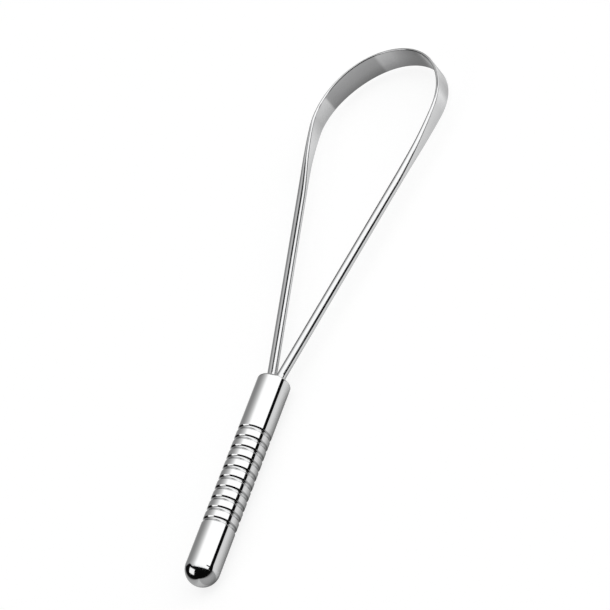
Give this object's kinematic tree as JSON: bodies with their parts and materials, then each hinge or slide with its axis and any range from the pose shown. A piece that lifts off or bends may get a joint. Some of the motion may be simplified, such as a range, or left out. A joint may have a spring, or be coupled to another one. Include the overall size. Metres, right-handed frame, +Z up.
{
  "type": "tongue scraper",
  "caption": "Metal tongue scraper: a drop-shaped wire loop, rolled flat to a blade round its bow, fixed in a round grooved handle bar with a domed end.",
  "frame": {"origin": "on the table under the middle of the whole length, on the handle's and loop's common centre line", "axes": "+X along the handle towards the loop's tip, +Y across the loop, +Z up, at right angles to the loop's plane, as the tool lies on a table"},
  "size_m": [0.1526, 0.038, 0.008],
  "materials": {
    "polished_bar": "stainless steel, mirror polished",
    "polished_wire": "stainless steel, bright rolled and polished",
    "braze": "silver braze, dull"
  },
  "bodies": {
    "root": {"handle": "polished_bar", "scraper_loop": "polished_wire", "braze_fill": "braze"}
  },
  "joints": []
}
